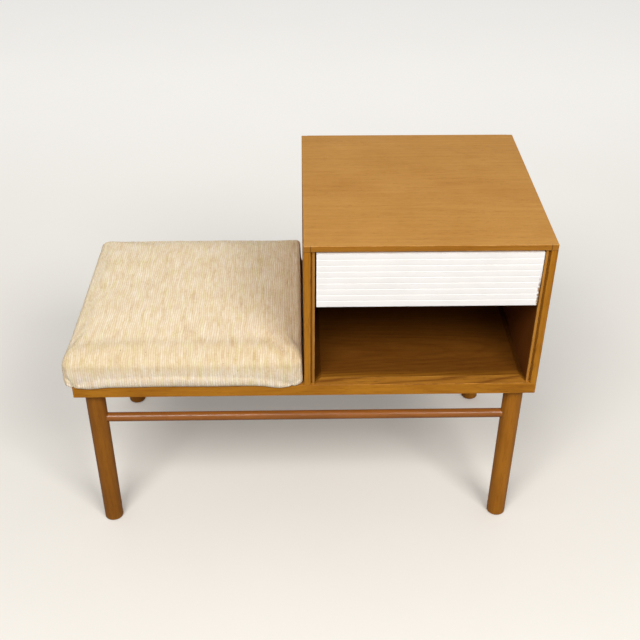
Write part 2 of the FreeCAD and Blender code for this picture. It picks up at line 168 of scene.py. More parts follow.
class Graph:
    """The nodes of one material, from its coordinates to its surface."""

    def __init__(self, name: str) -> None:
        """Starts an empty material of that name."""
        self.material = bpy.data.materials.new(name)
        self.material.use_nodes = True
        self.tree = self.material.node_tree
        self.tree.nodes.clear()

    def node(
        self,
        kind: str,
        settings: dict[str, Any] | None = None,
        inputs: dict[str | int, Any] | None = None,
    ) -> bpy.types.Node:
        """Adds one node of any kind.

        Args:
            kind: the node's type name.
            settings: its properties, set first; stops are a ramp's places and colours.
            inputs: values or links of its sockets, by name or index.

        Returns:
            The new node.
        """
        made = self.tree.nodes.new(kind)
        for key, value in (settings or {}).items():
            if key == "stops":
                self._set_stops(made.color_ramp, value)
            else:
                setattr(made, key, value)
        for key, value in (inputs or {}).items():
            source = value.socket if isinstance(value, Signal) else value
            if isinstance(source, bpy.types.NodeSocket):
                self.tree.links.new(source, made.inputs[key])
            else:
                made.inputs[key].default_value = source
        return made

    @staticmethod
    def _set_stops(ramp: bpy.types.ColorRamp, stops: list[tuple[float, Colour]]) -> None:
        """Gives a ramp its stops, as pairs of place and colour."""
        while len(ramp.elements) < len(stops):
            ramp.elements.new(1.0)
        for element, (place, colour) in zip(ramp.elements, stops):
            element.position = place
            element.color = colour

    def point(self) -> bpy.types.NodeSocket:
        """The place on the surface, in metres, in the frame of the whole bench."""
        return self.node("ShaderNodeTexCoord").outputs["Object"]

    def parts(self, vector: bpy.types.NodeSocket) -> list[Signal]:
        """The X, Y and Z of a vector."""
        split = self.node("ShaderNodeSeparateXYZ", None, {0: vector})
        return [Signal(self, output) for output in split.outputs]

    def vector(self, x: Number, y: Number, z: Number) -> bpy.types.NodeSocket:
        """A vector of three numbers."""
        return self.node("ShaderNodeCombineXYZ", None, {0: x, 1: y, 2: z}).outputs[0]

    def scaled(self, vector: bpy.types.NodeSocket, scale: tuple[float, float, float]) -> bpy.types.NodeSocket:
        """A vector stretched along each axis."""
        return self.node("ShaderNodeVectorMath", {"operation": "MULTIPLY"}, {0: vector, 1: scale}).outputs[0]

    def noise(
        self,
        vector: bpy.types.NodeSocket,
        scale: float,
        detail: float = 2.0,
        rough: float = 0.5,
    ) -> Signal:
        """Soft noise around one half.

        Args:
            vector: where it is read.
            scale: cells per unit of the vector.
            detail: how many finer layers it has.
            rough: the share of the finer layers.

        Returns:
            The noise, mostly between 0.2 and 0.8.
        """
        inputs = {"Vector": vector, "Scale": scale, "Detail": detail, "Roughness": rough}
        return Signal(self, self.node("ShaderNodeTexNoise", {"noise_dimensions": "3D"}, inputs).outputs[0])

    def mix(self, share: Number, first: Any, second: Any, blend: str = "MIX") -> bpy.types.NodeSocket:
        """A colour between two.

        Args:
            share: 0 for the first and 1 for the second.
            first: a colour or a colour socket.
            second: the other one.
            blend: how the second is laid over the first.

        Returns:
            The mixed colour.
        """
        settings = {"data_type": "RGBA", "blend_type": blend}
        return self.node("ShaderNodeMix", settings, {0: share, 6: first, 7: second}).outputs[2]

    def surface(
        self,
        colour: Any,
        rough: Number,
        height: Signal | None = None,
        relief: float = 0.0,
        fixed: dict[str, Any] | None = None,
    ) -> bpy.types.Material:
        """Ends the graph in one surface shader.

        Args:
            colour: the base colour.
            rough: the roughness.
            height: what the relief follows, from 0 to 1.
            relief: the depth of that relief in metres.
            fixed: values or links of the shader's other sockets.

        Returns:
            The finished material.
        """
        inputs: dict[str | int, Any] = {"Base Color": colour, "Roughness": rough}
        inputs.update(fixed or {})
        if height is not None:
            bump = self.node("ShaderNodeBump", None, {"Strength": 1.0, "Distance": relief, "Height": height})
            inputs["Normal"] = bump.outputs[0]
        shader = self.node("ShaderNodeBsdfPrincipled", None, inputs)
        self.node("ShaderNodeOutputMaterial", None, {"Surface": shader.outputs[0]})
        return self.material


@dataclass(frozen=True)
class Board:
    """The place of one piece, and the block that it forms with its neighbours, along whose edges wear and
    painted edge shade are laid.
    """

    name: str
    low: Vector
    high: Vector
    block_low: Vector
    block_high: Vector
    tree: str
    own_low: Vector
    own_high: Vector

    @classmethod
    def of_node(cls, name: str, family: str = "") -> "Board":
        """The board that a CAD node is.

        Args:
            name: the node.
            family: how the names of the nodes begin that form one flush block with it.

        Returns:
            The board.
        """
        low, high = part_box(name)
        kin = [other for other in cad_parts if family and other.startswith(family)]
        boxes = [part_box(other) for other in kin] or [(low, high)]
        block_low = Vector(min(box[0][axis] for box in boxes) for axis in range(3))
        block_high = Vector(max(box[1][axis] for box in boxes) for axis in range(3))
        return cls(name, low, high, block_low, block_high, name, low, high)

    def cut_from(self, other: "Board") -> "Board":
        """This board with its grain running on from another one, as under one sheet of veneer."""
        return replace(self, low=other.low, high=other.high, tree=other.name)

    def edge_gap(self, graph: Graph, point: bpy.types.NodeSocket) -> Signal:
        """Distance from a point on the block's surface to its nearest edge, in metres."""
        gaps = []
        for axis, place in enumerate(graph.parts(point)):
            gaps.append(abs((place - self.block_low[axis]).low(self.block_high[axis] - place)))
        total = gaps[0] + gaps[1] + gaps[2]
        least = gaps[0].low(gaps[1]).low(gaps[2])
        most = gaps[0].high(gaps[1]).high(gaps[2])
        return total - least - most


@dataclass(frozen=True)
class Wood:
    """Wood under a thin finish: year rings, fibres, pores, flecks, blotches and an edge band, worn by rubbing
    on most kinds and painted dark edge shade on the edging; some kinds get painted shade behind their front
    edge.

    Lengths are in metres. Cells are per metre, first along the grain and then across it.
    """

    name: str
    light: Colour
    dark: Colour
    pore: Colour = paint("4a260c")
    # Edge band colour: wear on most kinds, painted dark edge shade on the edging.
    edge_wear_shade_colour: Colour = paint("d8a868")
    ring_pitch: float = 0.011
    ring_share: float = 0.3
    ring_sharpness: float = 2.0
    ring_warp: float = 3.2
    warp_cells: tuple[float, float] = (2.5, 14.0)
    heart_depth: float = 0.09
    heart_spread: float = 0.3
    lean: float = 0.05
    fibre_share: float = 0.35
    fibre_cells: tuple[float, float] = (14.0, 620.0)
    streak_cells: tuple[float, float] = (3.5, 110.0)
    pore_share: float = 0.35
    pore_cells: tuple[float, float] = (75.0, 1500.0)
    mark_limits: tuple[float, float] = (0.60, 0.72)
    fleck_share: float = 0.35
    fleck_cells: tuple[float, float] = (42.0, 460.0)
    blotch_share: float = 0.25
    blotch_cells: float = 7.0
    seam_share: float = 0.0
    seam_width: float = 0.0014
    seam_depth: float = 0.004
    edge_wear_shade_width: float = 0.0012
    edge_wear_shade_share: float = 0.3
    edge_wear_shade_cells: float = 45.0
    roughness: float = 0.40
    relief: float = 0.00012
    gloss: float = 0.15
    base_shade: float = 0.3
    # Painted shade: a colour multiplied in behind the board's front edge, darker deeper into the shadowed
    # recess, with fainter rings there.
    recess_shade: Colour | None = None
    recess_shade_start: float = 0.0
    recess_shade_end: float = 0.0
    recess_shade_rings: float = 0.7
    ply_pitch: float = 0.0
    ply_share: float = 0.35
    front_tone: Colour | None = None
    front_depth: float = 0.0006
    pale_crest_line: float = 0.0
    pale_crest_cells: tuple[float, float, float] = (22.0, 400.0, 400.0)
    pale_crest_width: float = 0.0036
    pale_crest_gaps: float = 0.0046

    def material(self, board: Board, grain: Axis) -> bpy.types.Material:
        """The finish of one board.

        Args:
            board: the piece that gets it.
            grain: the way its grain runs.

        Returns:
            The material.
        """
        graph = Graph(f"{self.name}_{board.name}")
        point = graph.point()
        tree = random.Random(board.tree)
        offset = tuple(tree.uniform(-0.5, 0.5) for _ in range(3))
        shifted = graph.node("ShaderNodeVectorMath", {"operation": "ADD"}, {0: point, 1: offset}).outputs[0]
        places = graph.parts(point)
        rings = self._rings(graph, board, grain, tree, shifted)
        fibres = self._grained(graph, shifted, grain, self.fibre_cells, 3.0)
        streaks = self._grained(graph, shifted, grain, self.streak_cells, 2.0)
        dashes = self._grained(graph, shifted, grain, self.pore_cells, 1.0, 0.5)
        pores = dashes.step(*self.mark_limits) * streaks.step(0.35, 0.65)
        dents = self._grained(graph, shifted, grain, self.fleck_cells, 2.0)
        flecks = dents.step(*self.mark_limits)
        blotches = graph.noise(shifted, self.blotch_cells, 4.0, 0.6)
        ring_share: Number = self.ring_share
        # Painted shade behind the front edge: the rings fade where it is darkened.
        if self.recess_shade:
            recess_shaded = (places[1] - board.low.y).step(self.recess_shade_start, self.recess_shade_end)
            ring_share = (1.0 - recess_shaded * self.recess_shade_rings) * self.ring_share
        shade = (
            rings * ring_share
            + (fibres - 0.5) * (self.fibre_share * 1.6)
            + (streaks - 0.5) * self.fibre_share
            + (dents - 0.5) * (self.fibre_share * 0.9)
            + (blotches - 0.5) * (self.blotch_share * 2.0)
            + self.base_shade
        )
        if self.ply_pitch:
            shade = shade + self._layers(board, grain, places) * self.ply_share - 0.15
        colour = graph.mix(shade.clamped(), self.light, self.dark)
        # Painted shade multiplied in behind the front edge.
        if self.recess_shade:
            colour = graph.mix(recess_shaded, colour, self.recess_shade, "MULTIPLY")
        colour = graph.mix(pores * self.pore_share, colour, self.pore)
        colour = graph.mix(flecks * self.fleck_share, colour, self.dark)
        if self.seam_share:
            colour = graph.mix(self._seam(board, places) * self.seam_share, colour, self.pore)
        if self.front_tone:
            front = (places[1] - board.block_low.y).step(self.front_depth, self.front_depth / 3.0)
            colour = graph.mix(front, colour, self.front_tone, "MULTIPLY")
        edge_wear_shade = self._edge_wear_shade(graph, board, point)
        if self.pale_crest_line:
            edge_wear_shade = edge_wear_shade.high(self._pale_crest_line(graph, board, point))
        # Edge band: wear on most kinds, painted dark edge shade on the edging.
        colour = graph.mix(edge_wear_shade * self.edge_wear_shade_share, colour, self.edge_wear_shade_colour)
        rough = (fibres * 0.10 + blotches * 0.12 + edge_wear_shade * 0.12 + (self.roughness - 0.11)).clamped()
        height = (fibres * 0.5 + rings * 0.2 - pores * 0.8 + 0.4).clamped()
        return graph.surface(colour, rough, height, self.relief, {"Specular IOR Level": self.gloss})

    def _rings(
        self,
        graph: Graph,
        board: Board,
        grain: Axis,
        tree: random.Random,
        shifted: bpy.types.NodeSocket,
    ) -> Signal:
        """The year rings of the log that the board was sawn from, from 0 to 1."""
        thin, wide = self._across(board, grain)
        places = graph.parts(graph.point())
        middle = (board.low + board.high) / 2
        spread = tree.uniform(-self.heart_spread, self.heart_spread)
        heart_wide = middle[wide] + spread * (board.high[wide] - board.low[wide])
        heart_thin = middle[thin] - self.heart_depth * tree.uniform(0.8, 1.2)
        tilt = self.lean * tree.choice((-1, 1))
        side = places[wide] - heart_wide
        depth = places[thin] - heart_thin + (places[grain.value] - middle[grain.value]) * tilt
        warp = self._grained(graph, shifted, grain, self.warp_cells, 3.0, 0.55)
        radius = (side * side + depth * depth) ** 0.5 + (warp - 0.5) * (self.ring_pitch * self.ring_warp)
        return ((radius * (math.tau / self.ring_pitch)).sine() * 0.5 + 0.5) ** self.ring_sharpness

    def _layers(self, board: Board, grain: Axis, places: list[Signal]) -> Signal:
        """The sheets of plywood, seen at its edges, as 0 and 1 in turn."""
        thin, _ = self._across(board, grain)
        return ((places[thin] - board.low[thin]) * (math.pi / self.ply_pitch)).sine().step(-0.2, 0.2)

    def _seam(self, board: Board, places: list[Signal]) -> Signal:
        """The joints at both ends of a front strip, from 0 to 1."""
        end = (places[0] - board.own_low.x).low(board.own_high.x - places[0])
        near = abs(end).step(self.seam_width, 0.0003)
        return near * (places[1] - board.block_low.y).step(self.seam_depth, 0.001)

    def _pale_crest_line(self, graph: Graph, board: Board, point: bpy.types.NodeSocket) -> Signal:
        """A broken pale line along the crest, from 0 to 1."""
        patchy = graph.noise(graph.scaled(point, self.pale_crest_cells), 1.0, 4.0, 0.7)
        line = abs(graph.parts(point)[1] - (board.low.y + self.pale_crest_line)) + patchy * self.pale_crest_gaps
        return line.step(self.pale_crest_width, 0.0016)

    def _edge_wear_shade(self, graph: Graph, board: Board, point: bpy.types.NodeSocket) -> Signal:
        """The band along the block's edges, from 0 to 1: wear from hands and cloths on most kinds, painted
        dark edge shade on the edging.
        """
        ragged = graph.noise(point, self.edge_wear_shade_cells, 4.0, 0.65) - 0.5
        gap = board.edge_gap(graph, point) + ragged * (self.edge_wear_shade_width * 5.0)
        return gap.step(self.edge_wear_shade_width, 0.0)

    @staticmethod
    def _across(board: Board, grain: Axis) -> tuple[int, int]:
        """The board's thin and its wide direction, of the two that cross its grain."""
        first, second = (grain.value + 1) % 3, (grain.value + 2) % 3
        size = board.high - board.low
        return (first, second) if size[first] < size[second] else (second, first)

    @staticmethod
    def _grained(
        graph: Graph,
        place: bpy.types.NodeSocket,
        grain: Axis,
        cells: tuple[float, float],
        detail: float,
        rough: float = 0.6,
    ) -> Signal:
        """Noise drawn out along the grain, with its cells per metre along the grain and across it."""
        slow, fast = cells
        scale = tuple(slow if axis == grain.value else fast for axis in range(3))
        return graph.noise(graph.scaled(place, scale), 1.0, detail, rough)


class WoodKind(Enum):
    """The woods of the bench."""

    VENEER = Wood(
        "veneer",
        paint("c3904a"),
        paint("a16b26"),
        ring_share=0.08,
        fibre_share=0.34,
        pore_share=0.45,
        fleck_share=0.45,
        blotch_share=0.35,
        seam_share=0.6,
        front_tone=(0.70, 0.58, 0.28, 1.0),
    )
    EDGING = Wood(
        "edging",
        paint("b87c22"),
        paint("844c0a"),
        ring_share=0.2,
        fibre_share=0.45,
        pore_share=0.5,
        fleck_share=0.55,
        # Partly dark joint lines, partly painted shade: this dark edge band damps the highlight of the eased
        # edges.
        edge_wear_shade_colour=paint("5c3208"),
        edge_wear_shade_share=0.5,
    )
    LINER = Wood(
        "liner",
        paint("c08636"),
        paint("8a5618"),
        ring_share=0.2,
        # Painted shade: the inner face behind the front strip is darkened.
        recess_shade=(0.36, 0.25, 0.32, 1.0),
        recess_shade_start=0.002,
        recess_shade_end=0.006,
    )
    FLOOR = Wood(
        "floor_board",
        paint("9e6a20"),
        paint("5e3006"),
        edge_wear_shade_colour=paint("c08c40"),
        ring_share=0.45,
        ring_sharpness=3.0,
        ring_pitch=0.0055,
        fibre_share=0.4,
        fleck_share=0.5,
        gloss=0.08,
        edge_wear_shade_share=0.5,
        edge_wear_shade_width=0.0004,
        pale_crest_line=0.013,
        # Painted shade: the floor is darkened from 10 to 35 mm behind its front, under the drawer.
        recess_shade=(0.52, 0.45, 0.58, 1.0),
        recess_shade_start=0.010,
        recess_shade_end=0.035,
    )
    INNER = Wood("inner", paint("86501c"), paint("5c300c"), ring_share=0.2, edge_wear_shade_share=0.0)
    TURNED = Wood(
        "turned",
        paint("ae7020"),
        paint("78440c"),
        ring_share=0.12,
        blotch_share=0.4,
        edge_wear_shade_share=0.25,
        heart_depth=0.05,
    )
    # Painted shade: a darker copy of the turned wood for the two left legs, which are lit more dimly.
    TURNED_SHADED = replace(TURNED, name="turned_shaded", light=paint("98601e"), dark=paint("663a0c"))
    ROD = Wood(
        "rod",
        paint("9a5e28"),
        paint("724010"),
        ring_share=0.2,
        edge_wear_shade_share=0.0,
        roughness=0.24,
        gloss=0.4,
    )
    PLAIN = Wood("plain", paint("d9b98a"), paint("b98d58"), roughness=0.6, edge_wear_shade_share=0.0)
    PLY = Wood("ply", paint("cda572"), paint("a87c48"), roughness=0.55, edge_wear_shade_share=0.0, ply_pitch=0.0016)


@dataclass(frozen=True)
class WhitePaint:
    """Brushed white paint over wood: a little dirt in the grooves and chips at one end."""

    name: str = "white_paint"
    white: Colour = paint("f4f2f2")
    dirt: Colour = paint("b4b0aa")
    bare: Colour = paint("8d6a44")
    crown: float = 0.00018
    groove: float = 0.0006
    groove_dirt: float = 0.12
    cloud_dirt: float = 0.3
    stroke_cells: tuple[float, float, float] = (9.0, 60.0, 320.0)
    chip_cells: tuple[float, float, float] = (120.0, 120.0, 260.0)
    chip_reach: float = 0.006
    chip_start: float = 0.62
    scuff_share: float = 0.35
    roughness: float = 0.42
    relief: float = 0.0002

    def material(self, board: Board) -> bpy.types.Material:
        """The finish of the drawer front, given as the board that it is."""
        graph = Graph(f"{self.name}_{board.name}")
        point = graph.point()
        x, y, z = graph.parts(point)
        strokes = graph.noise(graph.scaled(point, self.stroke_cells), 1.0, 3.0, 0.6)
        cloud = graph.noise(point, 16.0, 3.0, 0.6)
        sunk = (y - board.low.y).step(self.crown, self.groove)
        inside = (y - board.low.y).step(0.004, 0.003)
        middle = (board.low.z + board.high.z) / 2
        lower = z.step(middle + 0.02, middle - 0.03)
        ragged = graph.noise(graph.scaled(point, self.chip_cells), 1.0, 4.0, 0.7)
        end_gap = board.high.x - x + (ragged - self.chip_start) * (self.chip_reach * 3.0)
        chips = end_gap.step(self.chip_reach * 0.2, 0.0) * lower
        edge = board.edge_gap(graph, point) + (ragged - 0.5) * 0.006
        scuffs = edge.step(0.0009, 0.0002) * self.scuff_share
        colour = graph.mix(sunk * inside * cloud * self.groove_dirt, self.white, self.dirt)
        colour = graph.mix(((cloud - 0.45) * self.cloud_dirt).clamped(), colour, self.dirt)
        colour = graph.mix((chips + scuffs * 0.5).clamped(), colour, self.bare)
        rough = (strokes * 0.16 + (self.roughness - 0.08) + chips * 0.2).clamped()
        height = (strokes * 0.5 - chips * 0.9 + 0.5).clamped()
        return graph.surface(colour, rough, height, self.relief)


@dataclass(frozen=True)
class BrightSteel:
    """Drawn wire and screws, lightly tarnished."""

    name: str = "bright_steel"
    bright: Colour = paint("b9b7b2")
    tarnished: Colour = paint("6e655a")
    relief: float = 0.00005

    def material(self, board: Board) -> bpy.types.Material:
        """The finish of the nails or screws of one node."""
        graph = Graph(f"{self.name}_{board.name}")
        point = graph.point()
        marks = graph.noise(point, 900.0, 3.0, 0.6)
        tarnish = graph.noise(point, 160.0, 2.0, 0.5).step(0.5, 0.75)
        colour = graph.mix(tarnish, self.bright, self.tarnished)
        rough = marks * 0.2 + tarnish * 0.2 + 0.25
        return graph.surface(colour, rough, marks, self.relief, {"Metallic": 1.0})


@dataclass(frozen=True)
class YarnNoise:
    """Noise that runs along each yarn by itself, and its weight in the shade of the cloth."""

    stride: float
    cells: float
    layer: float
    weight: float = 0.0
    detail: float = 1.0
    rough: float = 0.5

    def signal(self, graph: Graph, number: Signal, along: Signal) -> Signal:
        """The noise at a place, given by the yarn's number and the metres along it."""
        place = graph.vector(number * self.stride, along * self.cells, self.layer)
        return graph.noise(place, 1.0, self.detail, self.rough)


@dataclass(frozen=True)
class SlubCloth:
    """Heavy hand-loom cloth: thick uneven yarns bound by a thin weft, with flecks, soil beside the case, a
    greyer front face and painted shade on the top of the front roll.
    """

    name: str = "slub_cloth"
    map_name: str = "weave"
    pale: Colour = paint("fbf0dc")
    middle: Colour = paint("ebd7b4")
    tan: Colour = paint("cbaa7c")
    fleck: Colour = paint("5b4227")
    soiled: Colour = paint("a87f3c")
    # A greyer tint for the front face.
    front_face_tint: Colour = (0.93, 0.94, 1.0, 1.0)
    # Painted shade on the top of the front roll.
    shoulder_shade: Colour = (0.84, 0.82, 0.78, 1.0)
    straw: Colour = (0.97, 1.0, 0.90, 1.0)
    ash: Colour = (0.97, 0.96, 1.0, 1.0)
    yarn_pitch: float = 0.0044
    weft_pitch: float = 0.0026
    relief: float = 0.0011
    sway_cells: tuple[float, float, float] = (30.0, 17.0, 1.0)
    sway: float = 2.4
    own: YarnNoise = YarnNoise(7.31, 15.0, 0.0, 0.6)
    slub: YarnNoise = YarnNoise(3.17, 48.0, 4.0, 0.5, 2.0, 0.6)
    nub: YarnNoise = YarnNoise(5.41, 190.0, 8.0, 0.4)
    band: YarnNoise = YarnNoise(0.55, 24.0, 2.0, 0.7, 2.0, 0.5)
    tint: YarnNoise = YarnNoise(9.7, 22.0, 6.0)
    cloud_cells: tuple[float, float, float] = (14.0, 11.0, 1.0)
    cloud_weight: float = 0.35
    fuzz_cells: tuple[float, float, float] = (1400.0, 900.0, 1.0)
    fuzz_weight: float = 0.4
    base_shade: float = 0.52
    hollow_share: float = 0.38
    weft_share: float = 0.08
    fleck_cells: tuple[float, float, float] = (330.0, 170.0, 1.0)
    fleck_limits: tuple[float, float] = (0.735, 0.775)
    fleck_share: float = 0.8
    shoulder_level: float = 0.425
    shoulder_level_sway: float = 0.03
    roll_start: float = -0.160
    roll_end: float = -0.190
    soil_share: float = 0.14
    roughness: float = 0.92

    def material(self, soil_from: float, soil_to: float) -> bpy.types.Material:
        """The finish of the pad.

        Args:
            soil_from: X where handling marks begin, beside the case.
            soil_to: X where they are strongest.

        Returns:
            The material.
        """
        graph = Graph(self.name)
        lay = graph.node("ShaderNodeUVMap", {"uv_map": self.map_name}).outputs[0]
        across, along, _ = graph.parts(lay)
        sway = graph.noise(graph.scaled(lay, self.sway_cells), 1.0, 2.0, 0.5) - 0.5
        count = across * (1.0 / self.yarn_pitch) + sway * self.sway
        number = count.whole()
        own = self.own.signal(graph, number, along)
        slubs = self.slub.signal(graph, number, along)
        nubs = self.nub.signal(graph, number, along)
        bands = self.band.signal(graph, count, along)
        tints = self.tint.signal(graph, number, along)
        round_yarn = (((count - number) * math.pi).sine()).high(0.0) ** 0.6
        weft = abs((along * (math.pi / self.weft_pitch) + number * (math.pi / 2)).sine())
        fuzz = graph.noise(graph.scaled(lay, self.fuzz_cells), 1.0, 3.0, 0.7)
        clouds = graph.noise(graph.scaled(lay, self.cloud_cells), 1.0, 3.0, 0.6)
        shade = (
            (own - 0.5) * self.own.weight
            + (slubs - 0.5) * self.slub.weight
            + (nubs - 0.5) * self.nub.weight
            + (bands - 0.5) * self.band.weight
            + (clouds - 0.5) * self.cloud_weight
            + (fuzz - 0.5) * self.fuzz_weight
            + self.base_shade
        ).clamped()
        stops = [(0.0, self.tan), (0.42, self.middle), (0.82, self.pale), (1.0, self.pale)]
        colour = graph.node("ShaderNodeValToRGB", {"stops": stops}, {0: shade}).outputs[0]
        colour = graph.mix(tints.step(0.52, 0.66), colour, self.straw, "MULTIPLY")
        colour = graph.mix(tints.step(0.48, 0.34), colour, self.ash, "MULTIPLY")
        hollow = (1.0 - round_yarn.step(0.2, 0.8)) * self.hollow_share + (1.0 - weft) * self.weft_share
        colour = graph.mix(hollow, colour, self.tan)
        cells = graph.noise(graph.scaled(lay, self.fleck_cells), 1.0, 2.0, 0.5)
        colour = graph.mix(cells.step(*self.fleck_limits) * self.fleck_share, colour, self.fleck)
        colour = self._tint_shade_and_soil(graph, colour, clouds, soil_from, soil_to)
        body = round_yarn * (slubs * 0.6 + nubs * 0.5 + 0.25)
        height = (body * 0.7 + weft * 0.12 + fuzz * 0.25).clamped()
        fixed = {"Sheen Weight": 0.15, "Sheen Roughness": 0.5, "Specular IOR Level": 0.2}
        return graph.surface(colour, self.roughness, height, self.relief, fixed)

    def _tint_shade_and_soil(
        self,
        graph: Graph,
        colour: bpy.types.NodeSocket,
        clouds: Signal,
        soil_from: float,
        soil_to: float,
    ) -> bpy.types.NodeSocket:
        """The clean cloth with a greyer tint on its front face, painted shade on the top of its front roll
        and soil beside the case.
        """
        point = graph.point()
        x, y, z = graph.parts(point)
        level = z + (clouds - 0.5) * self.shoulder_level_sway
        face = level.step(self.shoulder_level + 0.012, self.shoulder_level - 0.012)
        # A greyer tint multiplied into the front face.
        colour = graph.mix(face, colour, self.front_face_tint, "MULTIPLY")
        upper = level.step(self.shoulder_level - 0.010, self.shoulder_level + 0.014)
        # Painted shade: the top of the front roll is darkened.
        roll = upper * y.step(self.roll_start, self.roll_end)
        colour = graph.mix(roll * (clouds * 0.5 + 0.75), colour, self.shoulder_shade, "MULTIPLY")
        cloud = graph.noise(point, 13.0, 3.0, 0.6)
        soil = x.step(soil_from, soil_to) * (cloud * 0.9 + 0.25)
        return graph.mix((soil * self.soil_share).clamped(), colour, self.soiled)


def dress(name: str, material: bpy.types.Material) -> None:
    """Gives a CAD node its finish and reports it."""
    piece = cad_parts[name]
    piece.data.materials.clear()
    piece.data.materials.append(material)
    log.info("dressed %s with %s", name, material.name)


@dataclass(frozen=True)
class WoodenParts:
    """CAD nodes of wood by their kind and the way of their grain; families are flush blocks."""

    families: tuple[str, ...] = ("platform_", "case_top_")
    sheet: str = "case_top_panel"
    under_sheet: tuple[str, ...] = (
        "case_top_front_lipping",
        "case_top_lipping_left",
        "case_top_lipping_right",
    )
    kinds: tuple[tuple[WoodKind, Axis, tuple[str, ...]], ...] = (
        (WoodKind.VENEER, Axis.X, ("platform_panel", sheet, *under_sheet)),
        (WoodKind.EDGING, Axis.X, ("platform_front_lipping",)),
        (WoodKind.EDGING, Axis.Y, ("platform_end_lipping_left", "platform_end_lipping_right")),
        (WoodKind.EDGING, Axis.Z, ("case_side_left", "case_side_right")),
        # Painted shade: the left legs get the darker copy of the turned wood.
        (WoodKind.TURNED_SHADED, Axis.Z, ("leg_front_left", "leg_rear_left")),
        (WoodKind.TURNED, Axis.Z, ("leg_front_right", "leg_rear_right")),
        (WoodKind.ROD, Axis.X, ("front_stretcher", "rear_stretcher")),
        (WoodKind.LINER, Axis.Z, ("side_liner_left", "side_liner_right")),
        (WoodKind.FLOOR, Axis.X, ("compartment_floor",)),
        (WoodKind.INNER, Axis.X, ("case_back",)),
        (WoodKind.PLAIN, Axis.Y, ("drawer_runner_left", "drawer_runner_right")),
        (WoodKind.PLAIN, Axis.Y, ("drawer_side_left", "drawer_side_right")),
        (WoodKind.PLAIN, Axis.Y, ("lower_case_tongues", "upper_case_tongues")),
        (WoodKind.PLAIN, Axis.X, ("drawer_back",)),
        (WoodKind.PLY, Axis.X, ("drawer_bottom", "seat_board")),
    )

    def dress(self) -> None:
        """Dresses every wooden node."""
        for kind, grain, names in self.kinds:
            for name in names:
                family = next((start for start in self.families if name.startswith(start)), "")
                board = Board.of_node(name, family)
                if name in self.under_sheet:
                    board = board.cut_from(Board.of_node(self.sheet, family))
                dress(name, kind.value.material(board, grain))


@dataclass
class Hardware:
    """Brads and screws."""

    names: tuple[str, ...] = ("back_brads", "runner_brads", "drawer_brads", "seat_screws")

    def dress(self) -> None:
        """Dresses every node of metal."""
        steel = BrightSteel()
        for name in self.names:
            dress(name, steel.material(Board.of_node(name)))


@dataclass
class DrawerFront:
    """The painted front of the drawer."""

    finish: WhitePaint = WhitePaint()

    def dress(self) -> None:
        """Paints the front."""
        dress("drawer_front", self.finish.material(Board.of_node("drawer_front")))


@dataclass(frozen=True)
class Fold:
    """One crease of the cover on the pad's front, given from the pad's lower left or lower right corner."""

    left: bool
    top: tuple[float, float]
    foot: tuple[float, float]
    width: float = 0.0035
    depth: float = 0.0022

    def depth_at(self, x: float, z: float) -> float:
        """How far the crease draws in the cover.

        Args:
            x: place along the front, from the corner.
            z: height over the hem.

        Returns:
            The depth in metres.
        """
        start, end = Vector(self.top), Vector(self.foot)
        way = end - start
        share = min(max((Vector((x, z)) - start).dot(way) / way.length_squared, 0.0), 1.0)
        gap = (Vector((x, z)) - start - way * share).length / self.width
        return self.depth * math.exp(-gap * gap) * min(1.0, 0.3 + share)


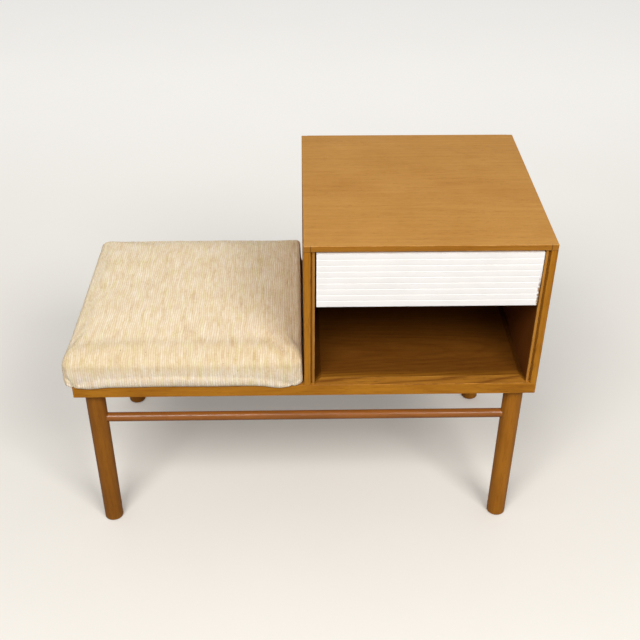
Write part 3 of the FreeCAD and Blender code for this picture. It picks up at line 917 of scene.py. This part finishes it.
@dataclass
class SeatPad:
    """The upholstered pad: a crowned closed form with a drawn-in hem, swollen by simulation.

    Lengths are in metres. A tuck is where the cover is folded under at a front corner.
    """

    corner_radius: float = 0.016
    corner_segments: int = 6
    tight_segments: int = 4
    tight_radius: float = 0.007
    shoulder_radius: float = 0.015
    hem_radius: float = 0.012
    crown: float = 0.008
    swell: float = 0.003
    voxel: float = 0.005
    pressure: float = 4.0
    frames: int = 20
    quality: int = 5
    cloth_mass: float = 0.3
    tension: float = 25.0
    compression: float = 10.0
    bending: float = 3.0
    waist: float = 0.003
    waist_level: float = 0.85
    waist_right: float = 0.3
    hem_drop_left: float = 0.0038
    hem_drop_right: float = 0.0065
    hem_reach: float = 0.002
    tuck_inset: float = 0.05
    tuck_width: float = 0.024
    slope_drop: float = 0.013
    slope_depth: float = 0.050
    slope_left: float = 0.3
    taper_left: float = 0.008
    taper_right: float = 0.001
    corner_bulge: float = 0.0045
    bulge_reach: tuple[float, float] = (0.035, 0.075)
    fold_reach: float = 0.03
    lumps: tuple[tuple[float, float], ...] = ((9.0, 0.0016), (26.0, 0.0006))
    soil: tuple[float, float] = (-0.07, -0.005)
    cloth: SlubCloth = SlubCloth()
    folds: tuple[Fold, ...] = (
        Fold(True, (0.002, 0.046), (0.020, 0.0), 0.0038, 0.0034),
        Fold(True, (0.000, 0.030), (0.013, 0.017), 0.003, 0.0018),
        Fold(True, (0.002, 0.018), (0.016, 0.007), 0.003, 0.0018),
        Fold(False, (-0.012, 0.036), (-0.024, 0.0)),
        Fold(False, (-0.005, 0.022), (-0.018, 0.010), 0.003, 0.0012),
    )

    def __post_init__(self) -> None:
        """Takes the room for the pad from its CAD node, and the edges that it overhangs."""
        self.low, self.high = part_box("seat_cushion")
        self.seat_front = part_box("platform_front_lipping")[0].y
        self.seat_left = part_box("platform_end_lipping_left")[0].x

    def build(self) -> bpy.types.Object:
        """Returns:
            The pad's object.
        """
        pad = self._remeshed(self._blank())
        self._form(pad)
        pad = self._swollen(pad)
        pad.name = "seat_pad"
        self._refine(pad)
        self._map_cloth(pad)
        pad.data.materials.append(self.cloth.material(*self.soil))
        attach(pad, "bench")
        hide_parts("seat_cushion")
        log.info("built %s with %d faces", pad.name, len(pad.data.polygons))
        return pad

    def _blank(self) -> bpy.types.Object:
        """A block with round upright corners, round shoulders and a tighter hem."""
        shape = bmesh.new()
        bmesh.ops.create_cube(shape, size=1.0)
        size = self.high - self.low
        size.z -= self.crown
        bmesh.ops.scale(shape, vec=size, verts=shape.verts)
        middle = (self.low + self.high) / 2
        middle.z = self.low.z + size.z / 2
        bmesh.ops.translate(shape, vec=middle, verts=shape.verts)
        beside_case = self.high.xy
        upright = [e for e in shape.edges if abs(e.verts[0].co.z - e.verts[1].co.z) > size.z / 2]
        tight = [e for e in upright if (e.verts[0].co.xy - beside_case).length < self.corner_radius]
        self._round(shape, [e for e in upright if e not in tight], self.corner_radius, self.corner_segments)
        self._round(shape, [e for e in tight if e.is_valid], self.tight_radius, self.tight_segments)
        top = max(v.co.z for v in shape.verts)
        rim = [e for e in shape.edges if all(abs(v.co.z - top) < 1e-6 for v in e.verts)]
        self._round(shape, rim, self.shoulder_radius, self.corner_segments)
        hem = [e for e in shape.edges if all(abs(v.co.z - self.low.z) < 1e-6 for v in e.verts)]
        self._round(shape, hem, self.hem_radius, self.tight_segments)
        return self._object("seat_pad_blank", shape)

    @staticmethod
    def _round(
        shape: bmesh.types.BMesh,
        edges: list[bmesh.types.BMEdge],
        radius: float,
        segments: int,
    ) -> None:
        """Rounds some edges of a shape."""
        bmesh.ops.bevel(
            shape,
            geom=edges,
            offset=radius,
            offset_type="OFFSET",
            affect="EDGES",
            segments=segments,
            profile=0.5,
            material=-1,
            clamp_overlap=True,
        )

    @staticmethod
    def _object(name: str, shape: bmesh.types.BMesh) -> bpy.types.Object:
        """Turns a shape into an object of the scene."""
        bmesh.ops.recalc_face_normals(shape, faces=shape.faces)
        mesh = bpy.data.meshes.new(name)
        shape.to_mesh(mesh)
        shape.free()
        piece = bpy.data.objects.new(name, mesh)
        bpy.context.scene.collection.objects.link(piece)
        return piece

    @staticmethod
    def _applied(piece: bpy.types.Object, name: str) -> bpy.types.Object:
        """A new object with the piece's modifiers worked into its mesh; the piece goes."""
        seen = piece.evaluated_get(bpy.context.evaluated_depsgraph_get())
        mesh = bpy.data.meshes.new_from_object(seen)
        mesh.name = name
        result = bpy.data.objects.new(name, mesh)
        bpy.context.scene.collection.objects.link(result)
        bpy.data.objects.remove(piece)
        return result

    def _remeshed(self, blank: bpy.types.Object) -> bpy.types.Object:
        """The blank with an even net of faces."""
        remesh = blank.modifiers.new("even_net", "REMESH")
        remesh.mode = "VOXEL"
        remesh.voxel_size = self.voxel
        return self._applied(blank, "seat_pad_net")

    def _form(self, pad: bpy.types.Object) -> None:
        """Draws the pad in towards the back and at the hem, and crowns its top."""
        span = self.high - self.low
        middle = (self.low + self.high) / 2
        for vertex in pad.data.vertices:
            place = vertex.co
            back = min(max((place.y - self.low.y) / span.y, 0.0), 1.0)
            level = min(max((place.z - self.low.z) / (span.z - self.crown), 0.0), 1.0)
            side = (place.x - middle.x) / (span.x / 2)
            depth = (place.y - middle.y) / (span.y / 2)
            if side < 0:
                place.x -= side * self.taper_left * back
            else:
                place.x -= side * self.taper_right * back
            pinch = self.waist * (2.0 * level - self.waist_level) ** 2
            place.x -= pinch * max(-1.0, min(self.waist_right, side))
            place.y -= pinch * max(-1.0, min(1.0, depth))
            dome = (1.0 - side**4) * (1.0 - depth**4)
            place.z += self.crown * max(dome, 0.0) * level**2
            place.z -= self.slope_drop * level * self._slope(place)
            from_left = (place.x - self.low.x) / self.bulge_reach[0]
            from_front = (place.y - self.low.y) / self.bulge_reach[1]
            place.x -= self.corner_bulge * level * math.exp(-(from_left**2) - from_front**2)

    def _slope(self, place: Vector) -> float:
        """From 0 on the level top to 1 at its front or left edge, where the stuffing thins out."""
        front = max(1.0 - (place.y - self.low.y) / self.slope_depth, 0.0)
        left = max(1.0 - (place.x - self.low.x) / self.slope_depth, 0.0)
        return min(front * front + self.slope_left * left * left, 1.0)

    def _droop(self, place: Vector) -> float:
        """How far the cover hangs over the seat line: most where each front corner is tucked under."""
        level = min(max((place.z - self.low.z) / (self.high.z - self.low.z), 0.0), 1.0)
        left = (place.x - self.low.x - self.tuck_inset) / self.tuck_width
        right = (self.high.x - self.tuck_inset - place.x) / self.tuck_width
        tucks = self.hem_drop_left * math.exp(-left * left) + self.hem_drop_right * math.exp(-right * right)
        return tucks * (1.0 - level) ** 3 * self._outside(place)

    def _outside(self, place: Vector) -> float:
        """From 0 over the platform to 1 beyond its front or left edge."""
        over = max(self.seat_front - place.y, self.seat_left - place.x)
        return min(max(over / self.hem_reach, 0.0), 1.0)

    def _swollen(self, pad: bpy.types.Object) -> bpy.types.Object:
        """The pad after a short cloth simulation under pressure, with each point's way capped."""
        start = [v.co.copy() for v in pad.data.vertices]
        held = pad.vertex_groups.new(name="held")
        held.add([v.index for v in pad.data.vertices if v.co.z < self.low.z + 0.002], 1.0, "REPLACE")
        cloth = pad.modifiers.new("swell", "CLOTH")
        settings = cloth.settings
        settings.use_pressure = True
        settings.uniform_pressure_force = self.pressure
        settings.effector_weights.gravity = 0.0
        settings.quality = self.quality
        settings.mass = self.cloth_mass
        settings.tension_stiffness = self.tension
        settings.compression_stiffness = self.compression
        settings.bending_stiffness = self.bending
        settings.vertex_group_mass = "held"
        cloth.point_cache.frame_start = 1
        cloth.point_cache.frame_end = self.frames
        scene = bpy.context.scene
        scene.frame_start = 1
        scene.frame_end = self.frames
        for number in range(1, self.frames + 1):
            scene.frame_set(number)
        swollen = self._applied(pad, "seat_pad")
        scene.frame_set(1)
        for vertex, origin in zip(swollen.data.vertices, start):
            way = vertex.co - origin
            if way.length > self.swell:
                vertex.co = origin + way * (self.swell / way.length)
        return swollen

    def _refine(self, pad: bpy.types.Object) -> None:
        """One finer net, then the pad's folds and small unevenness."""
        shape = bmesh.new()
        shape.from_mesh(pad.data)
        bmesh.ops.subdivide_edges(shape, edges=shape.edges, cuts=1, use_grid_fill=True, smooth=0.5)
        for vertex in shape.verts:
            vertex.co += self._unevenness(vertex.co) + self._folded(vertex.co)
            vertex.co.z = max(vertex.co.z, self.low.z)
            vertex.co.z -= self._droop(vertex.co)
        bmesh.ops.recalc_face_normals(shape, faces=shape.faces)
        shape.to_mesh(pad.data)
        shape.free()
        pad.data.shade_smooth()

    def _folded(self, place: Vector) -> Vector:
        """The tucks of the cover at the two front corners, as creases that run down to the hem."""
        if place.y > self.low.y + self.fold_reach:
            return Vector()
        inward = 0.0
        for fold in self.folds:
            corner = self.low.x if fold.left else self.high.x
            inward += fold.depth_at(place.x - corner, place.z - self.low.z)
        return Vector((0.0, inward, 0.0))

    def _unevenness(self, place: Vector) -> Vector:
        """Small soft lumps of the stuffing under the cloth."""
        lump = sum(noise.noise(place * cells) * height for cells, height in self.lumps)
        away = place - (self.low + self.high) / 2
        span = self.high - self.low
        lean = Vector((away.x / span.x, away.y / span.y, 2.5 * max(away.z, 0.0) / span.z))
        return lean.normalized() * lump if lean.length > 1e-6 else Vector()

    def _map_cloth(self, pad: bpy.types.Object) -> None:
        """Lays the cloth on the pad: flat on top, and straight down each side."""
        layer = pad.data.uv_layers.new(name=self.cloth.map_name)
        top = self.high.z
        for face in pad.data.polygons:
            normal = face.normal
            for loop in face.loop_indices:
                place = pad.data.vertices[pad.data.loops[loop].vertex_index].co
                layer.data[loop].uv = self._laid(place, top, abs(normal.x) > abs(normal.y))

    def _laid(self, place: Vector, top: float, sideways: bool) -> tuple[float, float]:
        """Where a place of the pad lies on the flat cloth, in metres."""
        drop = max(top - place.z, 0.0)
        if sideways:
            near = -1.0 if place.x < (self.low.x + self.high.x) / 2 else 1.0
            return place.x + near * drop, place.y
        near = -1.0 if place.y < (self.low.y + self.high.y) / 2 else 1.0
        return place.x, place.y + near * drop


@dataclass(frozen=True)
class Lamp:
    """One soft square lamp."""

    name: str
    place: tuple[float, float, float]
    power: float
    size: float = 1.6
    aim: tuple[float, float, float] = (0.0, 0.0, 0.4)
    colour: tuple[float, float, float] = (1.0, 0.97, 0.92)

    def build(self) -> None:
        """Hangs the lamp and turns it to its aim."""
        data = bpy.data.lights.new(self.name, "AREA")
        data.size = self.size
        data.energy = self.power
        data.color = self.colour
        lamp = bpy.data.objects.new(self.name, data)
        lamp.location = self.place
        lamp.rotation_euler = (Vector(self.aim) - Vector(self.place)).to_track_quat("-Z", "Y").to_euler()
        bpy.context.scene.collection.objects.link(lamp)


@dataclass(frozen=True)
class Camera:
    """The photograph's point of view; angles in degrees, lens and sensor in millimetres."""

    place: tuple[float, float, float] = (-0.00372, -1.73479, 1.60604)
    lens: float = 55.216
    sensor: float = 36.0
    pitch: float = 35.192
    yaw: float = 1.52
    roll: float = 0.355

    def build(self) -> None:
        """Sets up the camera and makes it the scene's own."""
        pitch, yaw, roll = (math.radians(value) for value in (self.pitch, self.yaw, self.roll))
        forward = Vector((math.sin(yaw) * math.cos(pitch), math.cos(yaw) * math.cos(pitch), -math.sin(pitch)))
        right = Vector((math.cos(yaw), -math.sin(yaw), 0.0))
        up = right.cross(forward)
        turned_right = right * math.cos(roll) + up * math.sin(roll)
        turned_up = up * math.cos(roll) - right * math.sin(roll)
        data = bpy.data.cameras.new("camera")
        data.sensor_fit = "HORIZONTAL"
        data.sensor_width = self.sensor
        data.lens = self.lens
        camera = bpy.data.objects.new("camera", data)
        axes = Matrix((turned_right, turned_up, -forward)).transposed().to_4x4()
        camera.matrix_world = Matrix.Translation(self.place) @ axes
        bpy.context.scene.collection.objects.link(camera)
        bpy.context.scene.camera = camera


@dataclass(frozen=True)
class Floor:
    """One wide pale floor, which looks paler to the camera than it shines on the bench."""

    size: float = 24.0
    colour: Colour = paint("eceae6")
    cloudy: Colour = paint("d4d1cb")
    bounce: Colour = paint("8c8a88")
    glow: Colour = (0.36, 0.36, 0.36, 1.0)
    glow_start: float = -0.4
    glow_end: float = 2.6
    roughness: float = 0.85

    def build(self) -> None:
        shape = bmesh.new()
        bmesh.ops.create_grid(shape, x_segments=1, y_segments=1, size=self.size / 2)
        mesh = bpy.data.meshes.new("floor")
        shape.to_mesh(mesh)
        shape.free()
        floor = bpy.data.objects.new("floor", mesh)
        bpy.context.scene.collection.objects.link(floor)
        mesh.materials.append(self._material())

    def _material(self) -> bpy.types.Material:
        """The paint of the floor, with a faint glow far behind the bench."""
        graph = Graph("floor_paint")
        point = graph.point()
        cloud = graph.noise(point, 3.0, 3.0, 0.5)
        seen = Signal(graph, graph.node("ShaderNodeLightPath").outputs["Is Camera Ray"])
        pale = graph.mix((cloud - 0.35).clamped() * 0.2, self.colour, self.cloudy)
        colour = graph.mix(seen, self.bounce, pale)
        back = graph.parts(point)[1].step(self.glow_start, self.glow_end)
        glow = graph.mix(seen * back, (0.0, 0.0, 0.0, 1.0), self.glow)
        shine = {"Emission Color": glow, "Emission Strength": 1.0}
        return graph.surface(colour, self.roughness, fixed=shine)


@dataclass(frozen=True)
class Studio:
    """The floor, the lamps, the world and the camera."""

    lamps: tuple[Lamp, ...] = (
        Lamp("left_lamp", (-1.1, -2.7, 3.6), 100.0),
        Lamp("right_lamp", (1.7, -2.9, 3.3), 96.0),
    )
    world_colour: Colour = (1.0, 0.985, 0.96, 1.0)
    world_strength: float = 0.40

    def build(self) -> None:
        """Builds everything round the bench."""
        Floor().build()
        self._world()
        for lamp in self.lamps:
            lamp.build()
        Camera().build()
        bpy.context.scene.view_settings.view_transform = "Standard"

    def _world(self) -> None:
        """Even pale light from all round."""
        world = bpy.data.worlds.new("studio")
        world.use_nodes = True
        background = world.node_tree.nodes["Background"]
        background.inputs["Color"].default_value = self.world_colour
        background.inputs["Strength"].default_value = self.world_strength
        bpy.context.scene.world = world


def main() -> None:
    """Builds the stage, dresses the frame and adds the upholstery."""
    logging.basicConfig(level=logging.INFO, format="%(message)s")
    Studio().build()
    WoodenParts().dress()
    Hardware().dress()
    DrawerFront().dress()
    SeatPad().build()


if __name__ == "__main__":
    main()
